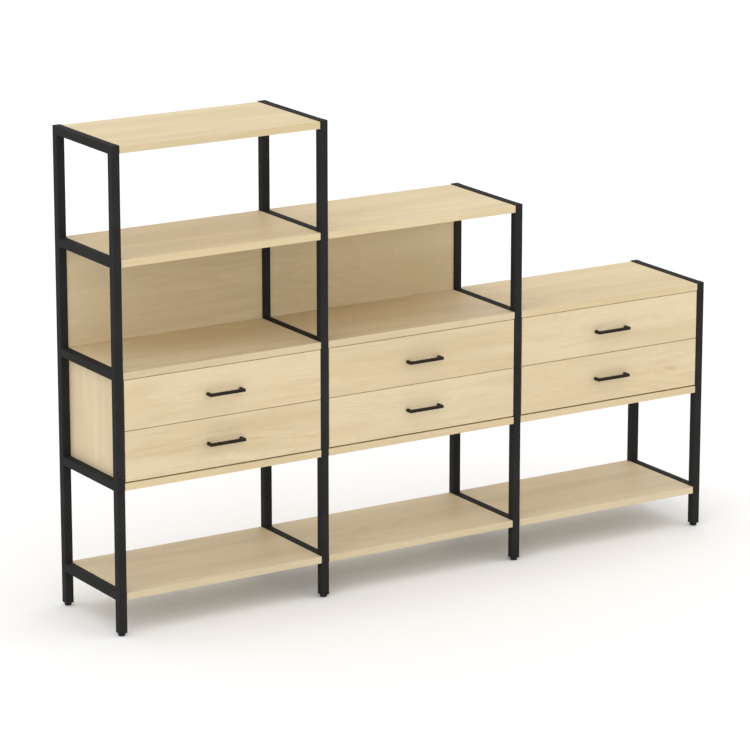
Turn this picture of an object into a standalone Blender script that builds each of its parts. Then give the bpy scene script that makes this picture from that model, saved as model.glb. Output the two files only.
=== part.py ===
"""Stepped shelving unit with drawers.

Four welded square-tube frames carry melamine shelves in three bays of falling height.
Each bay has a cabinet of two drawers at the same level, on telescopic side runners.
X runs along the unit, the front faces -Y, and the floor is Z = 0. Lengths are in metres.
"""

import math

import bmesh
import bpy
from mathutils import Matrix

# Layout
UNIT_NAME = "shelving_unit_with_drawers"
BAYS = ("left", "middle", "right")
BAY_SHELVES = (5, 4, 3)
BAY_PITCH = 0.800
FRAME_DEPTH = 0.420
FIRST_RAIL_TOP = 0.155
LEVEL_PITCH = 0.385
CABINET_LEVELS = (2, 3)
FIT = 0.0003

# Square steel tube of the frames
TUBE = 0.030
TUBE_WALL = 0.0015
TUBE_CORNER = 0.002
RAIL_SINK = 0.0012
VENT_DIAMETER = 0.008

# Tabs welded to the rails, which carry the shelves
TAB_THICKNESS = 0.0022
TAB_WIDTH = 0.040
TAB_REACH = 0.025
TAB_INSET = 0.050
TAB_HOLE = 0.0055

# Push-in glides
FOOT_HEIGHT = 0.012
FOOT_RADIUS = 0.0125
FOOT_ROUND = 0.003
FOOT_COLLAR = 0.0015
FOOT_NECK_HEIGHT = 0.0012
FOOT_NECK_RADIUS = 0.008
PLUG_DEPTH = 0.020

# Boards
SHELF_THICKNESS = 0.025
SHELF_BACK_SETBACK = 0.003
BACK_THICKNESS = 0.018
BACK_SETBACK = 0.006
SIDE_THICKNESS = 0.016
EDGE_ROUND = 0.0008

# Drawer fronts and the gaps round them
DRAWERS = ("lower", "upper")
FRONT_THICKNESS = 0.018
FRONT_SIDE_GAP = 0.0025
FRONT_BOTTOM_GAP = 0.005
FRONT_MIDDLE_GAP = 0.002
FRONT_TOP_GAP = 0.002
BUMPER_GAP = 0.002

# Drawer boxes
BOX_BOARD = 0.016
BOX_RISE = 0.025
BOX_HEADROOM = 0.030
BOX_BACK_CLEARANCE = 0.027
BOTTOM_THICKNESS = 0.004
BOTTOM_RECESS = 0.010

# Telescopic runners, a channel on the cabinet and a nested channel on the drawer
RUNNER_GAP = 0.013
RUNNER_HEIGHT = 0.045
RUNNER_SHEET = 0.0012
RUNNER_CLEARANCE = 0.002
RUNNER_SETBACK = 0.003

# Bow handles
HANDLE_CENTRES = 0.128
HANDLE_BAR = 0.010
HANDLE_PROJECTION = 0.030
HANDLE_BEND = 0.0015
HANDLE_EDGE = 0.0005
HANDLE_DROPS = (0.0, 0.003)

# Mesh fineness and the overlap of shapes that are joined or cut
CORNER_SEGMENTS = 2
ROUND_STEPS = 18
HOLE_STEPS = 8
BEND_STEPS = 3
OVERLAP = 0.001

# The handles stand out in front, so the frames sit back by half of that to centre the whole
FRONT_Y = (HANDLE_PROJECTION - FRAME_DEPTH) / 2
BACK_Y = FRONT_Y + FRAME_DEPTH
TUBE_BORE = TUBE - 2 * TUBE_WALL
BACK_PANEL_FRONT = BACK_Y - BACK_SETBACK - BACK_THICKNESS
BAY_WIDTH = BAY_PITCH - TUBE - 2 * FIT
OPENING_HEIGHT = LEVEL_PITCH - SHELF_THICKNESS
FRONT_GAPS = FRONT_BOTTOM_GAP + FRONT_TOP_GAP + FRONT_MIDDLE_GAP * (len(DRAWERS) - 1)
FRONT_HEIGHT = (OPENING_HEIGHT - FRONT_GAPS) / len(DRAWERS)
SIDE_FRONT = FRONT_Y + FRONT_THICKNESS + BUMPER_GAP
BOX_FRONT = FRONT_THICKNESS + FIT
BOX_DEPTH = BACK_PANEL_FRONT - BOX_BACK_CLEARANCE - FRONT_Y - BOX_FRONT
BOX_HEIGHT = FRONT_HEIGHT - BOX_RISE - BOX_HEADROOM
BOX_WIDTH = BAY_WIDTH - 2 * (SIDE_THICKNESS + RUNNER_GAP)
BOX_CENTRE_Z = BOX_RISE + BOX_HEIGHT / 2 - FRONT_HEIGHT / 2
BOX_Y = FRONT_Y + BOX_FRONT + BOX_DEPTH / 2
RUNNER_LENGTH = BOX_DEPTH - RUNNER_SETBACK
RUNNER_Y = SIDE_FRONT + RUNNER_SETBACK + RUNNER_LENGTH / 2
CARCASS_HEIGHT = OPENING_HEIGHT - TAB_THICKNESS - 3 * FIT


def frame_x(index):
    return (index - len(BAYS) / 2) * BAY_PITCH


def bay_x(bay):
    return frame_x(bay + 0.5)


def frame_levels(index):
    """A frame is as tall as the taller bay beside it."""
    beside = BAY_SHELVES[max(index - 1, 0):index + 1]
    return max(beside)


def rail_top(level):
    return FIRST_RAIL_TOP + (level - 1) * LEVEL_PITCH


def shelf_bottom(level):
    return rail_top(level) - TUBE + TAB_THICKNESS + FIT


def shelf_top(level):
    return shelf_bottom(level) + SHELF_THICKNESS


def front_bottom(row):
    """Lower edge of a drawer front, counted from the bottom row."""
    return shelf_top(CABINET_LEVELS[0]) + FRONT_BOTTOM_GAP + row * (FRONT_HEIGHT + FRONT_MIDDLE_GAP)


def clear_scene():
    for old in list(bpy.data.objects):
        bpy.data.objects.remove(old)


def new_collection(name, parent):
    made = bpy.data.collections.new(name)
    parent.children.link(made)
    return made


def new_finish(name, colour, roughness, metallic):
    made = bpy.data.materials.new(name)
    made.use_nodes = True
    shader = made.node_tree.nodes["Principled BSDF"]
    shader.inputs["Base Color"].default_value = (*colour, 1.0)
    shader.inputs["Roughness"].default_value = roughness
    shader.inputs["Metallic"].default_value = metallic
    return made


def put(name, mesh, location, collection, finish=None, parent=None):
    """A named object that shows a mesh at a place."""
    made = bpy.data.objects.new(name, mesh)
    made.location = location
    made.parent = parent
    collection.objects.link(made)
    if finish and not mesh.materials:
        mesh.materials.append(finish)
    return made


def put_tool(name, mesh, location, collection):
    """A hidden shape that a Boolean joins to a part or cuts from it."""
    made = put(name, mesh, location, collection)
    made.hide_render = True
    made.display_type = "WIRE"
    return made


def combine(target, operation, tools):
    change = target.modifiers.new(operation.lower(), "BOOLEAN")
    change.operation = operation
    change.solver = "EXACT"
    change.operand_type = "COLLECTION"
    change.collection = tools


def mesh_from(name, work):
    mesh = bpy.data.meshes.new(name)
    work.to_mesh(mesh)
    work.free()
    return mesh


def bar_mesh(name, size, rounding=0.0, axis=None):
    """A box centred on its origin, with its edges rounded, or only those along one axis."""
    work = bmesh.new()
    bmesh.ops.create_cube(work, size=1.0, matrix=Matrix.Diagonal((*size, 1.0)))
    if rounding:
        edges = list(work.edges)
        if axis is not None:
            edges = [edge for edge in edges if edge.verts[0].co[axis] != edge.verts[1].co[axis]]
        bmesh.ops.bevel(
            work, geom=edges, offset=rounding, segments=CORNER_SEGMENTS, profile=0.5, affect="EDGES"
        )
    return mesh_from(name, work)


def rod_mesh(name, diameter, length, axis):
    """A closed cylinder centred on its origin."""
    work = bmesh.new()
    bmesh.ops.create_cone(
        work,
        cap_ends=True,
        segments=HOLE_STEPS,
        radius1=diameter / 2,
        radius2=diameter / 2,
        depth=length,
    )
    if axis == "Y":
        bmesh.ops.rotate(work, verts=work.verts, matrix=Matrix.Rotation(math.pi / 2, 3, "X"))
    return mesh_from(name, work)


def baked_mesh(name, source):
    """The finished mesh of an object with its modifiers, closed at its caps. The object is removed."""
    graph = bpy.context.evaluated_depsgraph_get()
    mesh = bpy.data.meshes.new_from_object(source.evaluated_get(graph))
    mesh.name = name
    bpy.data.objects.remove(source)
    work = bmesh.new()
    work.from_mesh(mesh)
    bmesh.ops.remove_doubles(work, verts=work.verts, dist=0.000001)
    bmesh.ops.recalc_face_normals(work, faces=work.faces)
    work.to_mesh(mesh)
    work.free()
    return mesh


def outline_mesh(name, points, depth, along, collection):
    """A flat outline given depth, centred on it, along Z or along Y."""
    shape = bpy.data.curves.new(name, "CURVE")
    shape.dimensions = "2D"
    shape.fill_mode = "BOTH"
    shape.extrude = depth / 2
    spline = shape.splines.new("POLY")
    spline.points.add(len(points) - 1)
    for point, (x, y) in zip(spline.points, points):
        point.co = (x, y, 0.0, 1.0)
    spline.use_cyclic_u = True
    mesh = baked_mesh(name, put(name, shape, (0, 0, 0), collection))
    bpy.data.curves.remove(shape)
    if along == "Y":
        mesh.transform(Matrix.Rotation(math.pi / 2, 4, "X"))
    return mesh


def arc_points(centre, radius, start, end, steps):
    """Points on an arc, with its angles in degrees."""
    turns = [math.radians(start + (end - start) * i / steps) for i in range(steps + 1)]
    return [(centre[0] + radius * math.cos(t), centre[1] + radius * math.sin(t)) for t in turns]


def frame_tubes(index, tools):
    """The rear post and the rails, which the front post is joined to."""
    levels = frame_levels(index)
    x = frame_x(index)
    height = rail_top(levels) - FOOT_HEIGHT
    post = bar_mesh(f"post_{index + 1}", (TUBE, TUBE, height), TUBE_CORNER, 2)
    put_tool(f"rear_post_{index + 1}", post, (x, BACK_Y - TUBE / 2, FOOT_HEIGHT + height / 2), tools)
    rail_length = FRAME_DEPTH - 2 * TUBE + 2 * RAIL_SINK
    rail = bar_mesh(f"rail_{index + 1}", (TUBE, rail_length, TUBE), TUBE_CORNER, 1)
    for level in range(1, levels + 1):
        place = (x, (FRONT_Y + BACK_Y) / 2, rail_top(level) - TUBE / 2)
        put_tool(f"rail_{index + 1}_{level}", rail, place, tools)
    return post


def frame_tabs(index, tools, holes):
    """Two tabs under each shelf end that this frame carries, and their screw holes."""
    tab = bar_mesh(f"tab_{index + 1}", (TAB_REACH + OVERLAP, TAB_WIDTH, TAB_THICKNESS))
    hole = rod_mesh(f"tab_hole_{index + 1}", TAB_HOLE, TAB_THICKNESS + 2 * OVERLAP, "Z")
    from_middle = FRAME_DEPTH / 2 - TUBE - TAB_INSET - TAB_WIDTH / 2
    for side, bay in ((-1, index - 1), (1, index)):
        if not 0 <= bay < len(BAYS):
            continue
        tab_x = frame_x(index) + side * (TUBE / 2 + (TAB_REACH - OVERLAP) / 2)
        hole_x = frame_x(index) + side * (TUBE / 2 + TAB_REACH / 2)
        for level in range(1, BAY_SHELVES[bay] + 1):
            z = rail_top(level) - TUBE + TAB_THICKNESS / 2
            for end in (-1, 1):
                y = (FRONT_Y + BACK_Y) / 2 + end * from_middle
                name = f"tab_{index + 1}_{BAYS[bay]}_{level}_{'front' if end < 0 else 'rear'}"
                put_tool(name, tab, (tab_x, y, z), tools)
                put_tool(f"{name}_hole", hole, (hole_x, y, z), holes)


def frame_bores(index, tools):
    """The hollows of the tubes, open at the feet, with a vent from each rail into both posts."""
    levels = frame_levels(index)
    x = frame_x(index)
    low = FOOT_HEIGHT - OVERLAP
    height = rail_top(levels) - TUBE_WALL - low
    bore = bar_mesh(f"post_bore_{index + 1}", (TUBE_BORE, TUBE_BORE, height))
    rail_length = FRAME_DEPTH - 2 * TUBE - 2 * FIT
    rail_bore = bar_mesh(f"rail_bore_{index + 1}", (TUBE_BORE, rail_length, TUBE_BORE))
    vent = rod_mesh(f"vent_{index + 1}", VENT_DIAMETER, TUBE_WALL + 4 * OVERLAP, "Y")
    for end, y in (("front", FRONT_Y + TUBE / 2), ("rear", BACK_Y - TUBE / 2)):
        put_tool(f"bore_{index + 1}_{end}", bore, (x, y, low + height / 2), tools)
    for level in range(1, levels + 1):
        z = rail_top(level) - TUBE / 2
        put_tool(f"rail_bore_{index + 1}_{level}", rail_bore, (x, (FRONT_Y + BACK_Y) / 2, z), tools)
        for end, y in (("front", FRONT_Y + TUBE), ("rear", BACK_Y - TUBE)):
            put_tool(f"vent_{index + 1}_{level}_{end}", vent, (x, y, z), tools)


def build_frame(index, parts, tools, finish):
    """A welded ladder: two posts, a rail at each level and the shelf tabs, hollow inside."""
    joined = new_collection(f"frame_{index + 1}_joined", tools)
    cut = new_collection(f"frame_{index + 1}_cut", tools)
    post = frame_tubes(index, joined)
    frame_tabs(index, joined, cut)
    frame_bores(index, cut)
    height = rail_top(frame_levels(index)) - FOOT_HEIGHT
    place = (frame_x(index), FRONT_Y + TUBE / 2, FOOT_HEIGHT + height / 2)
    frame = put(f"frame_{index + 1}", post.copy(), place, parts, finish)
    combine(frame, "UNION", joined)
    combine(frame, "DIFFERENCE", cut)


def foot_mesh(tools):
    """A turned glide under a collar and a square plug, made as one moulding."""
    collar_top = FOOT_HEIGHT - FIT
    collar_bottom = collar_top - FOOT_COLLAR
    pad_top = collar_bottom - FOOT_NECK_HEIGHT
    profile = [(0.0, FOOT_HEIGHT + OVERLAP), (FOOT_NECK_RADIUS, FOOT_HEIGHT + OVERLAP)]
    profile.append((FOOT_NECK_RADIUS, pad_top))
    profile.append((FOOT_RADIUS, pad_top))
    heel = (FOOT_RADIUS - FOOT_ROUND, FOOT_ROUND)
    profile.extend(arc_points(heel, FOOT_ROUND, 0, -90, BEND_STEPS))
    profile.append((0.0, 0.0))

    work = bmesh.new()
    points = [work.verts.new((radius, 0.0, z)) for radius, z in profile]
    for first, second in zip(points, points[1:]):
        work.edges.new((first, second))
    glide = put("glide_turning", mesh_from("glide_turning", work), (0, 0, 0), tools)
    turn = glide.modifiers.new("turn", "SCREW")
    turn.steps = ROUND_STEPS
    turn.render_steps = ROUND_STEPS
    turn.use_merge_vertices = True
    turn.merge_threshold = 0.00001
    moulding = put("glide_moulding", baked_mesh("glide", glide), (0, 0, 0), tools)

    plug_side = TUBE_BORE - 2 * FIT
    plug_height = PLUG_DEPTH + FIT + FOOT_COLLAR / 2
    joined = new_collection("glide_joined", tools)
    collar = bar_mesh("glide_collar", (TUBE, TUBE, FOOT_COLLAR), TUBE_CORNER, 2)
    plug = bar_mesh("glide_plug", (plug_side, plug_side, plug_height), FOOT_COLLAR, 2)
    put_tool("glide_collar", collar, (0, 0, collar_top - FOOT_COLLAR / 2), joined)
    put_tool("glide_plug", plug, (0, 0, FOOT_HEIGHT + PLUG_DEPTH - plug_height / 2), joined)
    combine(moulding, "UNION", joined)
    return baked_mesh("foot", moulding)


def build_feet(parts, tools, finish):
    mesh = foot_mesh(tools)
    for index in range(len(BAYS) + 1):
        put(f"foot_{index + 1}_front", mesh, (frame_x(index), FRONT_Y + TUBE / 2, 0), parts, finish)
        put(f"foot_{index + 1}_rear", mesh, (frame_x(index), BACK_Y - TUBE / 2, 0), parts, finish)


def build_shelves(parts, finish):
    depth = FRAME_DEPTH - SHELF_BACK_SETBACK
    mesh = bar_mesh("shelf", (BAY_WIDTH, depth, SHELF_THICKNESS), EDGE_ROUND)
    for bay, name in enumerate(BAYS):
        for level in range(1, BAY_SHELVES[bay] + 1):
            z = shelf_bottom(level) + SHELF_THICKNESS / 2
            put(f"shelf_{name}_{level}", mesh, (bay_x(bay), FRONT_Y + depth / 2, z), parts, finish)


def build_back_panels(parts, finish):
    """The back of the open compartment above each cabinet that has one."""
    size = (BAY_WIDTH, BACK_THICKNESS, OPENING_HEIGHT - 2 * FIT)
    mesh = bar_mesh("back_panel", size, EDGE_ROUND)
    level = CABINET_LEVELS[1]
    y = BACK_PANEL_FRONT + BACK_THICKNESS / 2
    z = shelf_top(level) + OPENING_HEIGHT / 2
    for bay, name in enumerate(BAYS):
        if BAY_SHELVES[bay] > level:
            put(f"back_panel_{name}", mesh, (bay_x(bay), y, z), parts, finish)


def build_carcasses(parts, finish):
    """Two sides and a back, which the drawers run in, between a shelf and the tabs of the next."""
    half = BAY_WIDTH / 2
    inner = half - SIDE_THICKNESS
    front = SIDE_FRONT
    rear = BACK_PANEL_FRONT + BACK_THICKNESS
    outline = [(-half, front), (-inner, front), (-inner, BACK_PANEL_FRONT), (inner, BACK_PANEL_FRONT)]
    outline += [(inner, front), (half, front), (half, rear), (-half, rear)]
    mesh = outline_mesh("carcass", outline, CARCASS_HEIGHT, "Z", parts)
    z = shelf_top(CABINET_LEVELS[0]) + FIT + CARCASS_HEIGHT / 2
    for bay, name in enumerate(BAYS):
        put(f"carcass_{name}", mesh, (bay_x(bay), 0, z), parts, finish)


def channel_outline(reach, half_height, side):
    """A channel section with its web at x = 0, open towards side."""
    sheet = RUNNER_SHEET
    outline = [(0.0, -half_height), (reach, -half_height), (reach, sheet - half_height)]
    outline += [(sheet, sheet - half_height), (sheet, half_height - sheet)]
    outline += [(reach, half_height - sheet), (reach, half_height), (0.0, half_height)]
    return [(side * x, z) for x, z in outline][::side]


def build_cabinet_runners(parts, finish):
    """The outer channels, screwed to the carcass sides and open towards the drawers."""
    reach = RUNNER_GAP - FIT - RUNNER_CLEARANCE
    half_height = RUNNER_HEIGHT / 2
    from_middle = BAY_WIDTH / 2 - SIDE_THICKNESS - FIT
    for hand, side in (("left", 1), ("right", -1)):
        outline = channel_outline(reach, half_height, side)
        mesh = outline_mesh(f"cabinet_runner_{hand}", outline, RUNNER_LENGTH, "Y", parts)
        for bay, name in enumerate(BAYS):
            x = bay_x(bay) - side * from_middle
            for row, drawer in enumerate(DRAWERS):
                z = front_bottom(row) + FRONT_HEIGHT / 2 + BOX_CENTRE_Z
                put(f"runner_{name}_{drawer}_{hand}", mesh, (x, RUNNER_Y, z), parts, finish)


def drawer_box_mesh(tools):
    """A tray with its bottom let in above the lower edge, and the inner channels of its runners."""
    tray = bar_mesh("drawer_tray", (BOX_WIDTH, BOX_DEPTH, BOX_HEIGHT), EDGE_ROUND)
    box = put("drawer_tray", tray, (0, 0, 0), tools)

    inside = (BOX_WIDTH - 2 * BOX_BOARD, BOX_DEPTH - 2 * BOX_BOARD)
    floor_low = BOTTOM_RECESS - BOX_HEIGHT / 2
    floor_high = floor_low + BOTTOM_THICKNESS
    past_edge = BOX_HEIGHT / 2 + OVERLAP
    cut = new_collection("drawer_box_cut", tools)
    for name, low, high in (("room", floor_high, past_edge), ("recess", -past_edge, floor_low)):
        mesh = bar_mesh(f"drawer_{name}", (*inside, high - low))
        put_tool(f"drawer_{name}", mesh, (0, 0, (low + high) / 2), cut)

    reach = RUNNER_GAP - FIT - RUNNER_SHEET - RUNNER_CLEARANCE
    half_height = RUNNER_HEIGHT / 2 - RUNNER_SHEET - FIT
    joined = new_collection("drawer_box_joined", tools)
    for hand, side in (("left", -1), ("right", 1)):
        outline = channel_outline(reach + OVERLAP, half_height, side)
        mesh = outline_mesh(f"drawer_runner_{hand}", outline, RUNNER_LENGTH, "Y", tools)
        x = side * (BOX_WIDTH / 2 - OVERLAP)
        put_tool(f"drawer_runner_{hand}", mesh, (x, RUNNER_Y - BOX_Y, 0), joined)
    combine(box, "DIFFERENCE", cut)
    combine(box, "UNION", joined)
    return baked_mesh("drawer_box", box)


def handle_mesh(parts):
    """A square bar bent into a bow, with its feet on the drawer front at y = 0."""
    half = (HANDLE_CENTRES + HANDLE_BAR) / 2
    inner = half - HANDLE_BAR
    front = -HANDLE_PROJECTION
    corner = half - HANDLE_BEND
    outline = [(half, -FIT), (inner, -FIT), (inner, front + HANDLE_BAR), (-inner, front + HANDLE_BAR)]
    outline += [(-inner, -FIT), (-half, -FIT)]
    outline += arc_points((-corner, front + HANDLE_BEND), HANDLE_BEND, 180, 270, BEND_STEPS)
    outline += arc_points((corner, front + HANDLE_BEND), HANDLE_BEND, 270, 360, BEND_STEPS)
    bow = put("bow", outline_mesh("bow", outline, HANDLE_BAR, "Z", parts), (0, 0, 0), parts)
    ease = bow.modifiers.new("ease", "BEVEL")
    ease.width = HANDLE_EDGE
    ease.segments = CORNER_SEGMENTS
    ease.limit_method = "ANGLE"
    ease.angle_limit = math.radians(60)
    mesh = baked_mesh("handle", bow)
    mesh.shade_smooth()
    mesh.set_sharp_from_angle(angle=math.radians(40))
    return mesh


def build_drawers(parts, tools, board, metal):
    """Front, box and handle of each drawer, on an empty in the middle of its front."""
    width = BAY_WIDTH + 2 * FIT - 2 * FRONT_SIDE_GAP
    front = bar_mesh("drawer_front", (width, FRONT_THICKNESS, FRONT_HEIGHT), EDGE_ROUND)
    box = drawer_box_mesh(tools)
    handle = handle_mesh(parts)
    for bay, name in enumerate(BAYS):
        for row, drawer in enumerate(DRAWERS):
            slide = bpy.data.objects.new(f"slide_{name}_{drawer}", None)
            slide.location = (bay_x(bay), FRONT_Y, front_bottom(row) + FRONT_HEIGHT / 2)
            parts.objects.link(slide)
            front_place = (0, FRONT_THICKNESS / 2, 0)
            box_place = (0, BOX_Y - FRONT_Y, BOX_CENTRE_Z)
            put(f"drawer_front_{name}_{drawer}", front, front_place, parts, board, slide)
            put(f"drawer_box_{name}_{drawer}", box, box_place, parts, board, slide)
            put(f"handle_{name}_{drawer}", handle, (0, 0, -HANDLE_DROPS[row]), parts, metal, slide)


def main():
    clear_scene()
    scene = bpy.context.scene.collection
    parts = new_collection(UNIT_NAME, scene)
    tools = new_collection("cutters", scene)
    board = new_finish("pale_oak_melamine", (0.745, 0.610, 0.376), 0.55, 0.0)
    steel = new_finish("black_powder_coat", (0.027, 0.027, 0.027), 0.5, 0.3)
    zinc = new_finish("zinc_plated_steel", (0.55, 0.56, 0.58), 0.35, 1.0)
    plastic = new_finish("black_plastic", (0.02, 0.02, 0.02), 0.6, 0.0)
    for index in range(len(BAYS) + 1):
        build_frame(index, parts, tools, steel)
    build_feet(parts, tools, plastic)
    build_shelves(parts, board)
    build_back_panels(parts, board)
    build_carcasses(parts, board)
    build_cabinet_runners(parts, zinc)
    build_drawers(parts, tools, board, steel)


main()
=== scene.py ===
"""Looks of the stepped shelving unit with drawers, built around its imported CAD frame.

X runs along the unit, the front faces -Y, and the floor is Z = 0. Lengths are in metres.
"""

import math

import bmesh
import bpy
from mathutils import Matrix, Vector


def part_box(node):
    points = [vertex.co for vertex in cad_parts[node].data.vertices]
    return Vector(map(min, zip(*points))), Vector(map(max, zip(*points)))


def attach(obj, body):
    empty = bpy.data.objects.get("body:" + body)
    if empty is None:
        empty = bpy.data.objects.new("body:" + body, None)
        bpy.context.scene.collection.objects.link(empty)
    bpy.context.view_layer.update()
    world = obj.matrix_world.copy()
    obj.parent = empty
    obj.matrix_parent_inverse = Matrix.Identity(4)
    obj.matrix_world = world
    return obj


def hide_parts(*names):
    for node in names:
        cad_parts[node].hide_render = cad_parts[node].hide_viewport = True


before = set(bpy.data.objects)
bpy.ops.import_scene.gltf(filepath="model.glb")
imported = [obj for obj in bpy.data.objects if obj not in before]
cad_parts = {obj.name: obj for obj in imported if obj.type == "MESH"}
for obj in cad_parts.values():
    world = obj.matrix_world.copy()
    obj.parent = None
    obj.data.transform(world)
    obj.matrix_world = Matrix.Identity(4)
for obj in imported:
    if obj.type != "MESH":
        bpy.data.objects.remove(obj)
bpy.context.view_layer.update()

X, Y, Z = range(3)
FORWARD = (0, -1, 0)
REARWARD = (0, 1, 0)
DOWNWARD = (0, 0, -1)
WHITE = (1.0, 1.0, 1.0)

UNIT = "unit"
BAYS = ("left", "middle", "right")
BAY_SHELVES = (5, 4, 3)
CABINET_TOP = 3
BOTTOM_SHELVES = ("shelf_left_1", "shelf_middle_1", "shelf_right_1")
INNER_SHELVES = ("shelf_left_3", "shelf_middle_3")
ROWS = ("lower", "upper")
HANDS = (("left", -1), ("right", 1))
ENDS = ("front", "rear")
FRAMES = 4

# Camera, fitted to the outlines in the photograph
AIM = Vector((-0.0753, 0.0, 0.7138))
AIM_DISTANCE = 14.0
CAMERA_YAW = math.radians(31.96)
CAMERA_DROP = math.radians(15.02)
CAMERA_LENS = 190.5
CAMERA_SENSOR = 36.0
CAMERA_CLIP_END = 200.0

# Light: an even sky, a soft light high above and a broad one from the front left
SKY_STRENGTH = 0.97
LIGHT_SPREAD = math.radians(60.0)
TOP_LIGHT = dict(energy=0.24, rise=math.radians(76.0), turn=math.radians(25.0))
FRONT_LIGHT = dict(energy=0.40, rise=math.radians(16.0), turn=math.radians(40.0))

# Floor: the light that it throws back, and a deeper shade painted into its colour where the unit covers
# it
FLOOR_REACH = 40.0
FLOOR_BOUNCE = 0.88
FLOOR_ROUGHNESS = 0.9
FLOOR_GLOW = 0.012
FLOOR_SHADE = (0.83, 0.87, 0.93)
FLOOR_SHADE_REACH = 0.30
FLOOR_SHADE_SAMPLES = 16
FLOOR_OPEN = (0.15, 0.52)

# Edges: steps of a rounded one, and the angle from which an edge counts as sharp
EDGE_STEPS = 3
SHARP_ANGLE = math.radians(32.0)

# Boards of the carcasses and drawer boxes
SIDE_BOARD = 0.016
BACK_BOARD = 0.018
BOX_BOARD = 0.016
BOX_BOTTOM = 0.004
BOX_BOTTOM_RECESS = 0.010
BOX_GROOVE = 0.006
BOARD_EDGE = 0.0009
CRACK = 0.0002

# Side runners of rolled sheet. Screws of a member: two from its front end and one from its rear end
RUNNER_SHEET = 0.0012
RUNNER_BEND = 0.0026
RUNNER_BEND_STEPS = 5
RUNNER_REACH = 0.0095
RUNNER_NEST = 0.0015
RUNNER_PAST_BOX = 0.0017
CABINET_MEMBER_SCREWS = (0.037, 0.165, 0.055)
DRAWER_MEMBER_SCREWS = (0.028, 0.150, 0.040)

# Handles
HANDLE_BAR = 0.010
HANDLE_OUTER_BEND = 0.0017
HANDLE_OUTER_STEPS = 8
HANDLE_INNER_BEND = 0.0008
HANDLE_INNER_STEPS = 6
HANDLE_EDGE = 0.0006
HANDLE_CENTRES = 0.128

# Glides: a turned foot of radius and height, under a square collar
GLIDE_TURNS = 40
GLIDE_COLLAR = 0.030
GLIDE_COLLAR_HEIGHT = 0.0018
GLIDE_EDGE = 0.0005
GLIDE_EDGE_STEPS = 2
TUBE_CORNER = 0.002
TUBE_CORNER_STEPS = 4
GLIDE_PROFILE = (
    (0.0, 0.0),
    (0.0085, 0.0),
    (0.0100, 0.0003),
    (0.0113, 0.0010),
    (0.0121, 0.0020),
    (0.0125, 0.0032),
    (0.0125, 0.0078),
    (0.0122, 0.0086),
    (0.0115, 0.0090),
    (0.0082, 0.0092),
    (0.0080, 0.0104),
    (0.0, 0.0104),
)

# Screw heads: radius and height of each kind, then rings and a cross recess as shares of these
SHELF_SCREW = (0.0046, 0.0026)
BOARD_SCREW = (0.0036, 0.0018)
HANDLE_SCREW = (0.0042, 0.0022)
SCREW_TURNS = 24
SCREW_RINGS = (0.0, 0.14, 0.28, 0.42, 0.56, 0.76, 0.92, 1.0)
SCREW_CROWN = 0.45
RECESS_REACH = 0.5
RECESS_HALF_WIDTH = 0.10
RECESS_DEPTH = 0.55

# Places of the screws in the drawer fronts and shelf tabs
FRONT_SCREW_FROM_MIDDLE = 0.270
FRONT_SCREW_RISES = (-0.030, 0.034)
TAB_DROP = 0.0025
TAB_HOLE_FROM_TUBE = 0.0125
TAB_FROM_MIDDLE = 0.110

# Bumpers behind the drawer fronts
BUMPER_INSET = 0.022
BUMPER_TURNS = 20
BUMPER_PROFILE = (
    (0.0, 0.0),
    (0.0040, 0.0),
    (0.0040, 0.0002),
    (0.0034, 0.0011),
    (0.0022, 0.0016),
    (0.0, 0.0017),
)

# Tones of the boards: early wood, darker bands, rosy bands and late wood
OAK_TONES = dict(
    pale=(0.779, 0.647, 0.411),
    deep=(0.685, 0.550, 0.329),
    rosy=(0.754, 0.605, 0.371),
    late=(0.516, 0.370, 0.194),
)
# Darker, duller copy of the oak for the back panels and bottom shelves: painted shade, for boards that
# stand in shade
PAINTED_SHADE_TONES = dict(
    pale=(0.730, 0.622, 0.420),
    deep=(0.645, 0.532, 0.336),
    rosy=(0.705, 0.582, 0.376),
    late=(0.490, 0.360, 0.200),
)
# Cooler copy of the oak for the shelves inside the open compartments: painted shade, the cooler tint of
# the shade there
INNER_PAINTED_SHADE_TONES = dict(
    pale=(0.780, 0.662, 0.451),
    deep=(0.685, 0.562, 0.361),
    rosy=(0.755, 0.619, 0.408),
    late=(0.516, 0.379, 0.213),
)
# Paler copy of the oak for the drawer fronts and upright boards: painted light, bringing their upright
# faces up to the brightness of the shelf tops
FRONT_PAINTED_LIGHT_TONES = dict(
    pale=(0.806, 0.679, 0.456),
    deep=(0.711, 0.578, 0.366),
    rosy=(0.780, 0.633, 0.407),
    late=(0.545, 0.399, 0.220),
)
BOX_TONES = dict(
    pale=(0.740, 0.645, 0.472),
    deep=(0.675, 0.570, 0.395),
    rosy=(0.720, 0.610, 0.430),
    late=(0.560, 0.440, 0.280),
)

# Grain: how far it wanders across a board, cycles a metre of its bands, and depth of streaks and dashes
BOARD_GRAIN = dict(sway=0.034, band=(0.62, 8.0, 8.0), streak=0.06, dash=0.11)
FRONT_GRAIN = dict(sway=0.070, band=(1.1, 12.0, 12.0), streak=0.09, dash=0.22)

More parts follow.
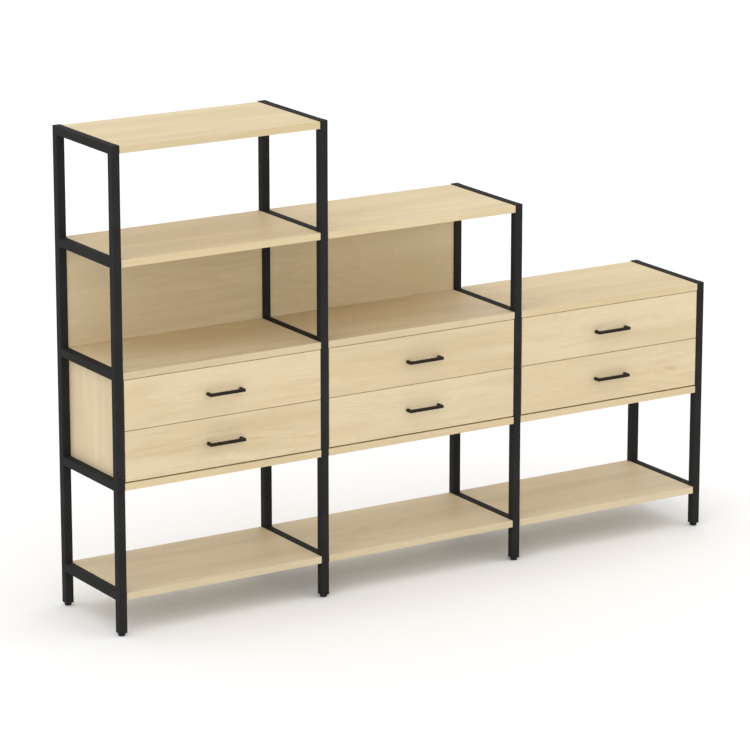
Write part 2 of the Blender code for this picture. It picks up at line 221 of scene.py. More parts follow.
# Layers of the grain: cycles a metre along and across it, octaves, and the span of noise that shows
BANDS = dict(detail=3.0, shown=(0.36, 0.64))
SWAY = dict(cycles=(1.2, 4.5, 4.5))
WOBBLE = dict(cycles=(7.0, 20.0, 20.0))
TINT = dict(cycles=(1.5, 6.0, 6.0), detail=1.0, shown=(0.38, 0.62))
DASH_GROUPS = dict(cycles=(2.4, 17.0, 17.0), shown=(0.42, 0.64, 0.18, 1.0))
STREAKS = dict(cycles=(3.2, 62.0, 62.0), detail=3.0, roughness=0.6, shown=(0.32, 0.70))
DASHES = dict(cycles=(9.5, 165.0, 165.0), shown=(0.47, 0.70))
FLECKS = dict(cycles=(21.0, 140.0, 140.0), detail=1.0, shown=(0.55, 0.74))
FLAT_SAWN = dict(cycles=(0.75, 5.0, 5.0), detail=1.0, roughness=0.4)
FIGURE = dict(cycles=(1.1, 4.0, 4.0), detail=1.0, shown=(0.46, 0.64))
FIBRES = dict(cycles=(14.0, 900.0, 900.0))
PORES = dict(cycles=(30.0, 1300.0, 1300.0), detail=1.0, shown=(0.62, 0.72))

# Flat-sawn figure: rings in the noise, and how late wood comes up and breaks off in each
RINGS = 17.0
LATE_RISE = (0.25, 0.92)
LATE_FALL = (1.0, 0.94)

# How much each layer of the wood shows in its shade, light, gloss and relief
WOBBLE_REACH = 0.007
TINT_SHARE = 0.55
WOOD_SHADE = dict(piece=0.10, late=0.14, fibres=0.10, pores=0.20)
WOOD_LIGHT = dict(flecks=0.045, edges=0.03)
WOOD_DULL = dict(fibres=0.10, pores=0.12)
WOOD_ROUGHNESS = 0.46
WOOD_SPECULAR = 0.25
WOOD_EDGE = 0.0012
WOOD_RELIEF = dict(depth=0.00025, strength=0.22)

# A knot in the lower right drawer front: place, reach along and across the grain, and push on it
KNOT = dict(place=(1.072, 0.0, 0.620), reach=(0.036, 0.017), push=0.020)

# The knot's ragged edge, dark core and the ring in which the grain bends, in units of its reach
KNOT_RAGGED = dict(cycles=(1.5, 0.0, 1.5))
KNOT_RAG = 1.3
KNOT_CORE = (1.2, 0.0, 0.0, 0.40)
KNOT_BEND = (4.0, 0.3)

# Coats: dusty clouds and rubbed edges, how much they show, and the relief of the orange peel
COAT_CLOUD = dict(cycles=(9.0, 9.0, 9.0), detail=3.0)
COAT_RUB = dict(cycles=(60.0, 60.0, 60.0), detail=3.0, shown=(0.45, 0.75))
COAT_EDGE = 0.0015
COAT_WEAR = dict(rubbed=0.5, everywhere=0.2)
COAT_DUST = 0.25
COAT_DUST_SHOWN = (0.35, 0.75)
COAT_DULL = dict(peel=0.12, cloud=0.10)
COAT_RELIEF = dict(depth=0.00012, strength=0.35)

# Zinc plate: rolling lines and clouds, how much they show, and the relief of the lines
ZINC_ROLLED = dict(cycles=(700.0, 6.0, 700.0))
ZINC_CLOUD = dict(cycles=(30.0, 18.0, 30.0), detail=4.0)
ZINC_CLOUD_SHOWN = (0.35, 0.70)
ZINC_CLOUD_TONE = 0.80
ZINC_EDGE = 0.0006
ZINC_EDGE_SHINE = 0.4
ZINC_DULL = dict(rolled=0.14, cloud=0.10)
ZINC_RELIEF = dict(depth=0.00008, strength=0.25)

# Each piece takes its own cut of a pattern. An edge shows where the rounded normal leaves the face's
PIECE_SHIFT = (11.3, 4.7, 7.9)
EDGE_SAMPLES = 6
EDGE_TURN = (0.99, 0.80)


class Graph:
    """The nodes of one material, with a short call for each kind that is used here."""

    def __init__(self, name):
        self.material = bpy.data.materials.new(name)
        self.material.use_nodes = True
        self.tree = self.material.node_tree
        self.shader = self.tree.nodes["Principled BSDF"]
        self.output = self.tree.nodes["Material Output"]

    def node(self, kind, **settings):
        made = self.tree.nodes.new("ShaderNode" + kind)
        for key, value in settings.items():
            setattr(made, key, value)
        return made

    def feed(self, socket, value):
        """A socket takes another node's output, or a plain value."""
        if isinstance(value, bpy.types.NodeSocket):
            self.tree.links.new(value, socket)
        elif value is not None:
            socket.default_value = value

    def math(self, operation, first, second=None, third=None):
        made = self.node("Math", operation=operation)
        for socket, value in zip(made.inputs, (first, second, third)):
            self.feed(socket, value)
        return made.outputs[0]

    def vector(self, operation, first, second=None):
        made = self.node("VectorMath", operation=operation)
        self.feed(made.inputs[0], first)
        if operation == "SCALE":
            self.feed(made.inputs["Scale"], second)
        else:
            self.feed(made.inputs[1], second)
        return made.outputs["Value" if operation in ("DOT_PRODUCT", "LENGTH") else "Vector"]

    def span(self, value, low, high, to_low=0.0, to_high=1.0):
        made = self.node("MapRange", interpolation_type="SMOOTHSTEP")
        for socket, number in zip(made.inputs, (value, low, high, to_low, to_high)):
            self.feed(socket, number)
        return made.outputs["Result"]

    def noise(self, place, cycles, detail=2.0, roughness=0.5, shown=None):
        """Noise from 0 to 1, with cycles a metre for each axis, or the span of it that shows."""
        made = self.node("TexNoise")
        self.feed(made.inputs["Vector"], self.vector("MULTIPLY", place, cycles))
        made.inputs["Scale"].default_value = 1.0
        made.inputs["Detail"].default_value = detail
        made.inputs["Roughness"].default_value = roughness
        if shown:
            return self.span(made.outputs["Fac"], *shown)
        return made.outputs["Fac"]

    def blend(self, amount, first, second, kind="MIX"):
        """Two colours mixed."""
        made = self.node("Mix", data_type="RGBA", blend_type=kind)
        self.feed(made.inputs["Factor"], amount)
        for socket, value in zip((made.inputs[6], made.inputs[7]), (first, second)):
            if not isinstance(value, bpy.types.NodeSocket):
                value = (*value, 1.0)
            self.feed(socket, value)
        return made.outputs[2]

    def grey(self, value):
        made = self.node("CombineColor")
        for socket in made.inputs:
            self.feed(socket, value)
        return made.outputs[0]

    def edges(self, radius):
        """1 on edges and 0 on flat faces, and a normal that rounds the edges."""
        soft = self.node("Bevel", samples=EDGE_SAMPLES)
        soft.inputs["Radius"].default_value = radius
        sharp = self.node("NewGeometry")
        turned = self.vector("DOT_PRODUCT", soft.outputs["Normal"], sharp.outputs["Normal"])
        return self.span(turned, *EDGE_TURN), soft.outputs["Normal"]

    def bump(self, height, normal, depth, strength):
        made = self.node("Bump")
        made.inputs["Strength"].default_value = strength
        made.inputs["Distance"].default_value = depth
        self.feed(made.inputs["Height"], height)
        self.feed(made.inputs["Normal"], normal)
        self.feed(self.shader.inputs["Normal"], made.outputs["Normal"])

    def place(self, along=X):
        """Place in the piece, shifted for each piece, with the chosen axis first."""
        spot = self.node("TexCoord").outputs["Object"]
        chance = self.node("ObjectInfo").outputs["Random"]
        if along != X:
            split = self.node("SeparateXYZ")
            self.feed(split.inputs[0], spot)
            joined = self.node("CombineXYZ")
            for index in range(3):
                self.feed(joined.inputs[index], split.outputs[(index + along) % 3])
            spot = joined.outputs[0]
        return self.vector("ADD", spot, self.vector("SCALE", PIECE_SHIFT, chance))

    def knot(self, place, reach, push):
        """A knot's darkness round a place on a front, and how far it pushes the grain aside."""
        along, across = reach
        away = self.vector("SUBTRACT", self.node("TexCoord").outputs["Object"], place)
        away = self.vector("MULTIPLY", away, (1.0 / along, 0.0, 1.0 / across))
        distance = self.vector("LENGTH", away)
        rag = self.math("MULTIPLY_ADD", self.noise(away, **KNOT_RAGGED), 2 * KNOT_RAG, -KNOT_RAG)
        core = self.span(self.math("ADD", distance, rag), *KNOT_CORE)
        split = self.node("SeparateXYZ")
        self.feed(split.inputs[0], away)
        aside = self.math("MULTIPLY", split.outputs[Z], -push / KNOT_BEND[0])
        return core, self.math("MULTIPLY", self.span(distance, *KNOT_BEND), aside)


def wood(name, along, tones, grain, knot=None):
    """Melamine with a printed grain: cloudy bands, short dashes, flat-sawn figure and pores."""
    g = Graph(name)
    spot = g.place(along)
    swing = g.math("MULTIPLY_ADD", g.noise(spot, **SWAY), grain["sway"], -grain["sway"] / 2)
    swing = g.math("MULTIPLY_ADD", g.noise(spot, **WOBBLE), WOBBLE_REACH, swing)
    if knot:
        core, pushed = g.knot(**knot)
        swing = g.math("ADD", swing, pushed)
    spot = g.vector("ADD", spot, g.vector("SCALE", (0.0, 1.0, 1.0), swing))

    ring = g.math("FRACT", g.math("MULTIPLY", g.noise(spot, **FLAT_SAWN), RINGS))
    late = g.math("MULTIPLY", g.span(ring, *LATE_RISE), g.span(ring, *LATE_FALL))
    late = g.math("MULTIPLY", late, g.noise(spot, **FIGURE))
    dashes = g.math("MULTIPLY", g.noise(spot, **DASHES), g.noise(spot, **DASH_GROUPS))
    fibres = g.noise(spot, **FIBRES)
    pores = g.noise(spot, **PORES)

    colour = g.blend(g.noise(spot, grain["band"], **BANDS), tones["pale"], tones["deep"])
    colour = g.blend(g.math("MULTIPLY", g.noise(spot, **TINT), TINT_SHARE), colour, tones["rosy"])
    shade = g.math("MULTIPLY", g.noise(spot, **STREAKS), grain["streak"])
    shade = g.math("MULTIPLY_ADD", g.node("ObjectInfo").outputs["Random"], WOOD_SHADE["piece"], shade)
    shade = g.math("MULTIPLY_ADD", dashes, grain["dash"], shade)
    shade = g.math("MULTIPLY_ADD", late, WOOD_SHADE["late"], shade)
    shade = g.math("MULTIPLY_ADD", fibres, WOOD_SHADE["fibres"], shade)
    shade = g.math("MULTIPLY_ADD", pores, WOOD_SHADE["pores"], shade)
    if knot:
        shade = g.math("ADD", shade, core)
    colour = g.blend(shade, colour, tones["late"])
    worn, soft_normal = g.edges(WOOD_EDGE)
    light = g.math("MULTIPLY_ADD", worn, WOOD_LIGHT["edges"], 1.0)
    light = g.math("MULTIPLY_ADD", g.noise(spot, **FLECKS), WOOD_LIGHT["flecks"], light)
    g.feed(g.shader.inputs["Base Color"], g.blend(1.0, colour, g.grey(light), "MULTIPLY"))

    rough = g.math("MULTIPLY_ADD", fibres, WOOD_DULL["fibres"], WOOD_ROUGHNESS)
    g.feed(g.shader.inputs["Roughness"], g.math("MULTIPLY_ADD", pores, WOOD_DULL["pores"], rough))
    g.shader.inputs["Specular IOR Level"].default_value = WOOD_SPECULAR
    g.bump(g.math("MULTIPLY_ADD", pores, -1.0, fibres), soft_normal, **WOOD_RELIEF)
    return g.material


def coat(name, colour, worn_colour, roughness, specular, grit):
    """Powder coat or moulded plastic: fine orange peel, mottled gloss and rubbed edges."""
    g = Graph(name)
    spot = g.place()
    peel = g.noise(spot, (grit, grit, grit))
    cloud = g.noise(spot, **COAT_CLOUD)
    worn, soft_normal = g.edges(COAT_EDGE)
    rub = g.math("MULTIPLY_ADD", g.noise(spot, **COAT_RUB), COAT_WEAR["rubbed"], COAT_WEAR["everywhere"])
    dust = g.math("MULTIPLY", g.span(cloud, *COAT_DUST_SHOWN), COAT_DUST)
    shown = g.blend(dust, colour, worn_colour)
    shown = g.blend(g.math("MULTIPLY", worn, rub), shown, worn_colour)
    g.feed(g.shader.inputs["Base Color"], shown)
    rough = g.math("MULTIPLY_ADD", peel, COAT_DULL["peel"], roughness - COAT_DULL["peel"] / 2)
    g.feed(g.shader.inputs["Roughness"], g.math("MULTIPLY_ADD", cloud, COAT_DULL["cloud"], rough))
    g.shader.inputs["Specular IOR Level"].default_value = specular
    g.bump(peel, soft_normal, **COAT_RELIEF)
    return g.material


def zinc(name, colour, roughness):
    """Bright zinc plate: rolling lines along the runner and a faint cloudy passivate."""
    g = Graph(name)
    spot = g.place()
    rolled = g.noise(spot, **ZINC_ROLLED)
    cloud = g.noise(spot, **ZINC_CLOUD)
    worn, soft_normal = g.edges(ZINC_EDGE)
    clouded = tuple(ZINC_CLOUD_TONE * value for value in colour)
    shown = g.blend(g.span(cloud, *ZINC_CLOUD_SHOWN), colour, clouded)
    shown = g.blend(g.math("MULTIPLY", worn, ZINC_EDGE_SHINE), shown, colour)
    g.feed(g.shader.inputs["Base Color"], shown)
    g.shader.inputs["Metallic"].default_value = 1.0
    rough = g.math("MULTIPLY_ADD", rolled, ZINC_DULL["rolled"], roughness - ZINC_DULL["rolled"] / 2)
    g.feed(g.shader.inputs["Roughness"], g.math("MULTIPLY_ADD", cloud, ZINC_DULL["cloud"], rough))
    g.bump(rolled, soft_normal, **ZINC_RELIEF)
    return g.material


OAK = wood("oak_lengthwise", X, OAK_TONES, BOARD_GRAIN)
# Painted shade: a cooler oak for the shelves inside the open compartments
OAK_INNER_PAINTED_SHADE = wood("oak_inner_shelf_painted_shade", X, INNER_PAINTED_SHADE_TONES, BOARD_GRAIN)
# Painted shade: a darker, duller oak for the back panels and bottom shelves
OAK_PAINTED_SHADE = wood("oak_painted_shade", X, PAINTED_SHADE_TONES, BOARD_GRAIN)
# Painted light: a paler oak for the drawer fronts and upright boards
OAK_FRONT_PAINTED_LIGHT = wood("oak_drawer_front_painted_light", X, FRONT_PAINTED_LIGHT_TONES, FRONT_GRAIN, KNOT)
OAK_UPRIGHT_PAINTED_LIGHT = wood("oak_upright_painted_light", Z, FRONT_PAINTED_LIGHT_TONES, BOARD_GRAIN)
BOX_LENGTHWISE = wood("drawer_board_lengthwise", X, BOX_TONES, BOARD_GRAIN)
BOX_ACROSS = wood("drawer_board_across", Y, BOX_TONES, BOARD_GRAIN)
STEEL = coat(
    "black_powder_coat",
    colour=(0.0200, 0.0200, 0.0195),
    worn_colour=(0.042, 0.042, 0.041),
    roughness=0.72,
    specular=0.10,
    grit=1500.0,
)
HANDLE = coat(
    "black_handle_coat",
    colour=(0.0130, 0.0103, 0.0064),
    worn_colour=(0.034, 0.030, 0.025),
    roughness=0.52,
    specular=0.16,
    grit=2200.0,
)
PLASTIC = coat(
    "black_plastic",
    colour=(0.012, 0.012, 0.012),
    worn_colour=(0.045, 0.045, 0.045),
    roughness=0.55,
    specular=0.20,
    grit=900.0,
)
ZINC = zinc("zinc_plate", colour=(0.63, 0.64, 0.66), roughness=0.34)


def dress(node, material):
    """A CAD node keeps its shape and takes a finish."""
    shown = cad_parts[node]
    if not shown.material_slots:
        shown.data.materials.append(material)
    for slot in shown.material_slots:
        slot.link = "OBJECT"
        slot.material = material


def piece(name, work, material, body, nodes=(), rounding=0.0, steps=EDGE_STEPS):
    """A new piece from a mesh in place, with rounded edges, on a body of the frame."""
    bmesh.ops.recalc_face_normals(work, faces=work.faces)
    mesh = bpy.data.meshes.new(name)
    work.to_mesh(mesh)
    work.free()
    mesh.shade_smooth()
    mesh.set_sharp_from_angle(angle=SHARP_ANGLE)
    mesh.materials.append(material)
    made = bpy.data.objects.new(name, mesh)
    bpy.context.scene.collection.objects.link(made)
    if rounding:
        soft = made.modifiers.new("rounding", "BEVEL")
        soft.width = rounding
        soft.segments = steps
        soft.limit_method = "ANGLE"
        soft.angle_limit = SHARP_ANGLE
        soft.harden_normals = True
    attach(made, body)
    if nodes:
        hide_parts(*nodes)


def board(name, low, high, material, body, node):
    """A board between two corners, in place of a CAD node."""
    size = Vector(high) - Vector(low)
    middle = (Vector(high) + Vector(low)) / 2
    matrix = Matrix.Translation(middle) @ Matrix.Diagonal((*size, 1.0))
    work = bmesh.new()
    bmesh.ops.create_cube(work, size=1.0, matrix=matrix)
    piece(name, work, material, body, (node,), BOARD_EDGE)


def join_rings(work, rings, turns):
    """Faces from each ring of points to the next. A ring of one point is a tip."""
    for lower, upper in zip(rings, rings[1:]):
        for turn in range(turns):
            after = (turn + 1) % turns
            corners = [lower[turn % len(lower)], lower[after % len(lower)]]
            corners += [upper[after % len(upper)], upper[turn % len(upper)]]
            work.faces.new(list(dict.fromkeys(corners)))


def add_prism(work, outline, axis, low, high):
    """A closed outline, given in the two axes after this one, carried along it."""
    rings = []
    for level in (low, high):
        ring = []
        for first, second in outline:
            spot = Vector((0.0, 0.0, 0.0))
            spot[axis] = level
            spot[(axis + 1) % 3] = first
            spot[(axis + 2) % 3] = second
            ring.append(work.verts.new(spot))
        rings.append(ring)
    join_rings(work, rings, len(outline))
    work.faces.new(rings[0][::-1])
    work.faces.new(rings[1])


def around(radius, turns):
    """Points round a circle, or the one point in its middle."""
    angles = [2 * math.pi * turn / turns for turn in range(turns if radius else 1)]
    return [(radius * math.cos(angle), radius * math.sin(angle)) for angle in angles]


def facing(place, direction):
    """A matrix that stands a turned form at a place, with its axis along a direction."""
    turn = Vector(direction).to_track_quat("Z", "Y").to_matrix().to_4x4()
    return Matrix.Translation(Vector(place)) @ turn


def add_turned(work, profile, turns, matrix):
    """A profile of radius and height, turned round its axis."""
    rings = []
    for radius, height in profile:
        spots = [Vector((x, y, height)) for x, y in around(radius, turns)]
        rings.append([work.verts.new(matrix @ spot) for spot in spots])
    join_rings(work, rings, turns)


def add_screw(work, place, direction, size):
    """A pan head with a cross recess."""
    radius, height = size
    matrix = facing(place, direction)
    rings = []
    for share in SCREW_RINGS:
        ring = []
        for x, y in around(share, SCREW_TURNS):
            rise = 0.0 if share == 1.0 else height * (1.0 - SCREW_CROWN * share**3)
            if share < RECESS_REACH and min(abs(x), abs(y)) < RECESS_HALF_WIDTH:
                rise -= RECESS_DEPTH * height
            ring.append(work.verts.new(matrix @ Vector((radius * x, radius * y, rise))))
        rings.append(ring)
    join_rings(work, rings, SCREW_TURNS)
    work.faces.new(rings[-1][::-1])


def arc(centre, radius, start, end, steps):
    """Points on an arc, with its angles in degrees."""
    turns = [math.radians(start + (end - start) * i / steps) for i in range(steps + 1)]
    return [(centre[0] + radius * math.cos(t), centre[1] + radius * math.sin(t)) for t in turns]


def rounded_square(x, y, side, corner):
    """The outline of a square with round corners, about a place."""
    reach = side / 2 - corner
    outline = []
    for start, right, far in ((0, 1, 1), (90, -1, 1), (180, -1, -1), (270, 1, -1)):
        centre = (x + right * reach, y + far * reach)
        outline += arc(centre, corner, start, start + 90, TUBE_CORNER_STEPS)
    return outline


def channel(reach, half_height, side):
    """A rolled channel section in X and Z, with its web at x = 0 and open towards side."""
    bend = RUNNER_BEND
    sheet = RUNNER_SHEET
    steps = RUNNER_BEND_STEPS
    lower = (bend, bend - half_height)
    upper = (bend, half_height - bend)
    outline = [(reach, sheet - half_height), (reach, -half_height)]
    outline += arc(lower, bend, 270, 180, steps)
    outline += arc(upper, bend, 180, 90, steps)
    outline += [(reach, half_height), (reach, half_height - sheet)]
    outline += arc(upper, bend - sheet, 90, 180, steps)
    outline += arc(lower, bend - sheet, 180, 270, steps)
    return [(side * x, z) for x, z in outline]


def build_glides():
    for index in range(1, FRAMES + 1):
        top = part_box(f"frame_{index}")[0].z
        for end in ENDS:
            node = f"foot_{index}_{end}"
            low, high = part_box(node)
            middle = (low + high) / 2
            work = bmesh.new()
            add_turned(work, GLIDE_PROFILE, GLIDE_TURNS, Matrix.Translation((middle.x, middle.y, 0.0)))
            collar = rounded_square(middle.x, middle.y, GLIDE_COLLAR, TUBE_CORNER)
            add_prism(work, collar, Z, top - GLIDE_COLLAR_HEIGHT, top - CRACK)
            name = f"glide_{index}_{end}"
            piece(name, work, PLASTIC, UNIT, (node,), GLIDE_EDGE, GLIDE_EDGE_STEPS)


def build_carcass(bay):
    """The two sides and the back of a cabinet, and bumpers on the front edges of its sides."""
    node = f"carcass_{bay}"
    low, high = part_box(node)
    inner_low = low.x + SIDE_BOARD
    inner_high = high.x - SIDE_BOARD
    # The side boards in paler oak: painted light
    board(f"side_left_{bay}", low, (inner_low, high.y, high.z), OAK_UPRIGHT_PAINTED_LIGHT, UNIT, node)
    board(f"side_right_{bay}", (inner_high, low.y, low.z), high, OAK_UPRIGHT_PAINTED_LIGHT, UNIT, node)
    back_low = (inner_low + CRACK, high.y - BACK_BOARD, low.z)
    back_high = (inner_high - CRACK, high.y - CRACK, high.z)
    # The back board in darker, duller oak: painted shade
    board(f"cabinet_back_{bay}", back_low, back_high, OAK_PAINTED_SHADE, UNIT, node)
    work = bmesh.new()
    for row in ROWS:
        front_low, front_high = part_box(f"drawer_front_{bay}_{row}")
        for x in (low.x + SIDE_BOARD / 2, high.x - SIDE_BOARD / 2):
            for z in (front_low.z + BUMPER_INSET, front_high.z - BUMPER_INSET):
                add_turned(work, BUMPER_PROFILE, BUMPER_TURNS, facing((x, low.y, z), FORWARD))
    piece(f"bumpers_{bay}", work, PLASTIC, UNIT)


def build_member(name, body, node, ends, web, side, reach, half_height, screws):
    """One member of a runner: a channel with its web at x = web, open towards side, and its screws."""
    low, high = ends
    middle = (low.z + high.z) / 2
    outline = [(middle + z, web + x) for x, z in channel(reach, half_height, side)]
    work = bmesh.new()
    add_prism(work, outline, Y, low.y, high.y)
    first, second, last = screws
    for y in (low.y + first, low.y + second, high.y - last):
        add_screw(work, (web + side * RUNNER_SHEET, y, middle), (side, 0, 0), BOARD_SCREW)
    piece(name, work, ZINC, body, (node,))


def build_runner(tag, hand, side, box_edge):
    """A side runner: its cabinet member, and nested in that its drawer member on the box."""
    node = f"runner_{tag}_{hand}"
    low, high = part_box(node)
    half = (high.z - low.z) / 2
    build_member(
        f"cabinet_member_{tag}_{hand}",
        UNIT,
        node,
        (low, high),
        web=low.x if side < 0 else high.x,
        side=-side,
        reach=high.x - low.x,
        half_height=half,
        screws=CABINET_MEMBER_SCREWS,
    )
    build_member(
        f"drawer_member_{hand}_{tag}",
        f"drawer_{tag}",
        f"drawer_box_{tag}",
        (low, high),
        web=box_edge,
        side=side,
        reach=RUNNER_REACH,
        half_height=half - RUNNER_NEST,
        screws=DRAWER_MEMBER_SCREWS,
    )


def build_front_screws(tag, inside):
    """Screws through the inner front of a box, into the handle and the drawer front."""
    low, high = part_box(f"drawer_front_{tag}")
    centre = (low + high) / 2
    handle_low, handle_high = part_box(f"handle_{tag}")
    handle_z = (handle_low.z + handle_high.z) / 2
    work = bmesh.new()
    for side in (-1, 1):
        place = (centre.x + side * HANDLE_CENTRES / 2, inside, handle_z)
        add_screw(work, place, REARWARD, HANDLE_SCREW)
        for rise in FRONT_SCREW_RISES:
            place = (centre.x + side * FRONT_SCREW_FROM_MIDDLE, inside, centre.z + rise)
            add_screw(work, place, REARWARD, BOARD_SCREW)
    piece(f"front_screws_{tag}", work, ZINC, f"drawer_{tag}")


def build_handle(tag):
    """A square bar bent into a bow, on the drawer front."""
    node = f"handle_{tag}"
    low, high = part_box(node)
    bar = HANDLE_BAR
    bend = HANDLE_OUTER_BEND
    inner = HANDLE_INNER_BEND
    outline = [(low.x + bar, high.y), (low.x, high.y)]
    outline += arc((low.x + bend, low.y + bend), bend, 180, 270, HANDLE_OUTER_STEPS)
    outline += arc((high.x - bend, low.y + bend), bend, 270, 360, HANDLE_OUTER_STEPS)
    outline += [(high.x, high.y), (high.x - bar, high.y)]
    outline += arc((high.x - bar - inner, low.y + bar + inner), inner, 0, -90, HANDLE_INNER_STEPS)
    outline += arc((low.x + bar + inner, low.y + bar + inner), inner, 270, 180, HANDLE_INNER_STEPS)
    work = bmesh.new()
    add_prism(work, outline, Z, low.z, high.z)
    piece(f"pull_{tag}", work, HANDLE, f"drawer_{tag}", (node,), HANDLE_EDGE)


def build_drawer(tag):
    """A drawer: the boards of its box, its two runners, its screws and its handle."""
    body = f"drawer_{tag}"
    node = f"drawer_box_{tag}"
    low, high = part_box(node)
    low.x += RUNNER_REACH
    high.x -= RUNNER_REACH
    high.y -= RUNNER_PAST_BOX

    for hand, side in HANDS:
        edge = low.x if side < 0 else high.x
        inner = edge - side * BOX_BOARD
        side_low = (min(edge, inner), low.y, low.z)
        side_high = (max(edge, inner), high.y, high.z)
        board(f"box_side_{hand}_{tag}", side_low, side_high, BOX_ACROSS, body, node)
        build_runner(tag, hand, side, edge)

    inside_left = low.x + BOX_BOARD
    inside_right = high.x - BOX_BOARD
    inside_front = low.y + BOX_BOARD
    inside_back = high.y - BOX_BOARD
    floor = low.z + BOX_BOTTOM_RECESS
    boards = {
        "front": (
            (inside_left + CRACK, low.y, low.z),
            (inside_right - CRACK, inside_front, high.z),
        ),
        "back": (
            (inside_left + CRACK, inside_back, low.z),
            (inside_right - CRACK, high.y, high.z),
        ),
        "bottom": (
            (inside_left - BOX_GROOVE, inside_front - BOX_GROOVE, floor),
            (inside_right + BOX_GROOVE, inside_back + BOX_GROOVE, floor + BOX_BOTTOM),
        ),
    }
    for kind, (corner, far_corner) in boards.items():
        board(f"box_{kind}_{tag}", corner, far_corner, BOX_LENGTHWISE, body, node)
    build_front_screws(tag, inside_front)
    build_handle(tag)


def build_shelf_screws(bay, level, middle):
    """Screws up through the tabs under a shelf."""
    low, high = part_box(f"shelf_{bay}_{level}")
    work = bmesh.new()
    for x in (low.x + TAB_HOLE_FROM_TUBE, high.x - TAB_HOLE_FROM_TUBE):
        for side in (-1, 1):
            place = (x, middle + side * TAB_FROM_MIDDLE, low.z - TAB_DROP)
            add_screw(work, place, DOWNWARD, SHELF_SCREW)
    piece(f"shelf_screws_{bay}_{level}", work, ZINC, UNIT)


def background_rays(tree):
    """1 for the rays that see the white background: from the camera, off a mirror or through glass."""
    rays = tree.nodes.new("ShaderNodeLightPath")
    seen = rays.outputs["Is Camera Ray"]
    for kind in ("Is Glossy Ray", "Is Transmission Ray"):
        either = tree.nodes.new("ShaderNodeMath")
        either.operation = "MAXIMUM"
        tree.links.new(seen, either.inputs[0])
        tree.links.new(rays.outputs[kind], either.inputs[1])
        seen = either.outputs[0]
    return seen


def build_stage():
    """A white floor that keeps the unit's soft shadow, deepened by painted shade where the unit covers
    it.
    """
    mesh = bpy.data.meshes.new("floor")
    work = bmesh.new()
    bmesh.ops.create_grid(work, x_segments=1, y_segments=1, size=FLOOR_REACH)
    work.to_mesh(mesh)
    work.free()
    floor = bpy.data.objects.new("floor", mesh)
    bpy.context.scene.collection.objects.link(floor)
    g = Graph("white_floor")
    g.shader.inputs["Base Color"].default_value = (FLOOR_BOUNCE, FLOOR_BOUNCE, FLOOR_BOUNCE, 1.0)
    g.shader.inputs["Roughness"].default_value = FLOOR_ROUGHNESS
    g.shader.inputs["Specular IOR Level"].default_value = 0.0
    # Painted shade: occlusion darkens the floor's seen colour where the unit stands close over it
    open_floor = g.node("AmbientOcclusion", samples=FLOOR_SHADE_SAMPLES)
    open_floor.inputs["Distance"].default_value = FLOOR_SHADE_REACH
    lit = g.span(open_floor.outputs["AO"], *FLOOR_OPEN)
    seen = g.node("BsdfDiffuse")
    g.feed(seen.inputs["Color"], g.blend(lit, FLOOR_SHADE, WHITE))
    glow = g.node("Emission")
    glow.inputs["Strength"].default_value = FLOOR_GLOW
    white = g.node("AddShader")
    g.feed(white.inputs[0], seen.outputs[0])
    g.feed(white.inputs[1], glow.outputs[0])
    choice = g.node("MixShader")
    g.feed(choice.inputs[0], background_rays(g.tree))
    g.feed(choice.inputs[1], g.shader.outputs[0])
    g.feed(choice.inputs[2], white.outputs[0])
    g.feed(g.output.inputs["Surface"], choice.outputs[0])
    mesh.materials.append(g.material)


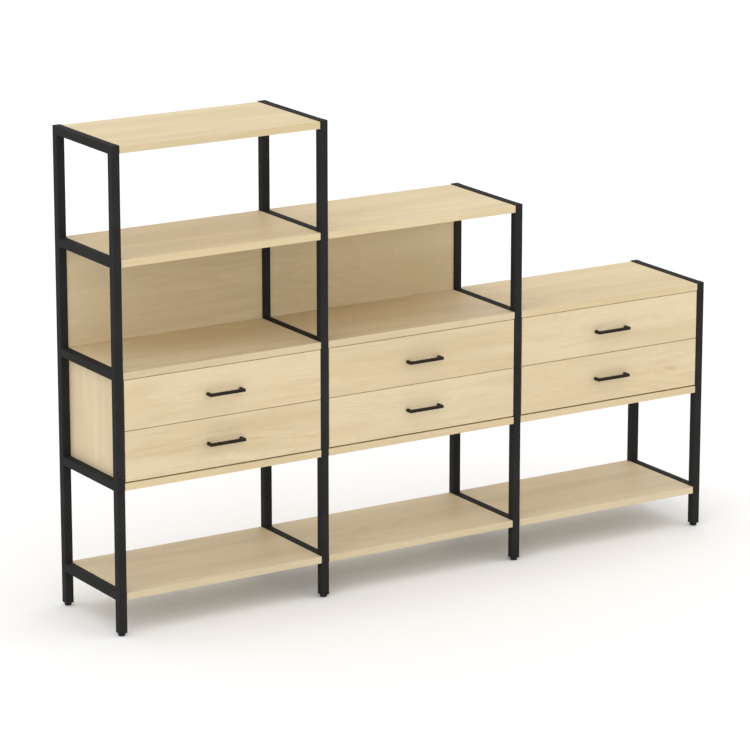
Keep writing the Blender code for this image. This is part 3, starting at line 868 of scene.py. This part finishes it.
def build_world():
    """An even white sky, pure white where the camera or a mirror sees it."""
    scene = bpy.context.scene
    scene.view_settings.view_transform = "Standard"
    world = bpy.data.worlds.new("studio")
    scene.world = world
    world.use_nodes = True
    tree = world.node_tree
    sky = tree.nodes["Background"]
    sky.inputs["Color"].default_value = (*WHITE, 1.0)
    level = tree.nodes.new("ShaderNodeMapRange")
    tree.links.new(background_rays(tree), level.inputs["Value"])
    level.inputs["To Min"].default_value = SKY_STRENGTH
    level.inputs["To Max"].default_value = 1.0
    tree.links.new(level.outputs["Result"], sky.inputs["Strength"])


def build_light(name, energy, rise, turn):
    """A broad soft light from the front, raised above the floor and turned to the left."""
    data = bpy.data.lights.new(name, "SUN")
    data.energy = energy
    data.angle = LIGHT_SPREAD
    lamp = bpy.data.objects.new(name, data)
    lamp.rotation_euler = (math.pi / 2 - rise, 0.0, -turn)
    bpy.context.scene.collection.objects.link(lamp)


def build_camera():
    data = bpy.data.cameras.new("camera")
    data.sensor_width = CAMERA_SENSOR
    data.lens = CAMERA_LENS
    data.clip_end = CAMERA_CLIP_END
    camera = bpy.data.objects.new("camera", data)
    level = math.cos(CAMERA_DROP)
    back = Vector((-math.sin(CAMERA_YAW) * level, -math.cos(CAMERA_YAW) * level, math.sin(CAMERA_DROP)))
    camera.location = AIM + back * AIM_DISTANCE
    camera.rotation_euler = (math.pi / 2 - CAMERA_DROP, 0.0, -CAMERA_YAW)
    bpy.context.scene.collection.objects.link(camera)
    bpy.context.scene.camera = camera


def main():
    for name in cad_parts:
        if name.startswith("frame"):
            dress(name, STEEL)
        # Drawer fronts in paler oak: painted light
        elif name.startswith("drawer_front"):
            dress(name, OAK_FRONT_PAINTED_LIGHT)
        # Back panels and bottom shelves in darker, duller oak: painted shade
        elif name.startswith("back_panel") or name in BOTTOM_SHELVES:
            dress(name, OAK_PAINTED_SHADE)
        # Shelves inside the open compartments in cooler oak: painted shade
        elif name in INNER_SHELVES:
            dress(name, OAK_INNER_PAINTED_SHADE)
        elif name.startswith("shelf"):
            dress(name, OAK)
    build_glides()
    low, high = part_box("frame_1")
    for bay, levels in zip(BAYS, BAY_SHELVES):
        build_carcass(bay)
        for row in ROWS:
            build_drawer(f"{bay}_{row}")
        for level in range(1, levels + 1):
            if level != CABINET_TOP:
                build_shelf_screws(bay, level, (low.y + high.y) / 2)
    build_stage()
    build_world()
    build_light("top_light", **TOP_LIGHT)
    build_light("front_light", **FRONT_LIGHT)
    build_camera()


main()
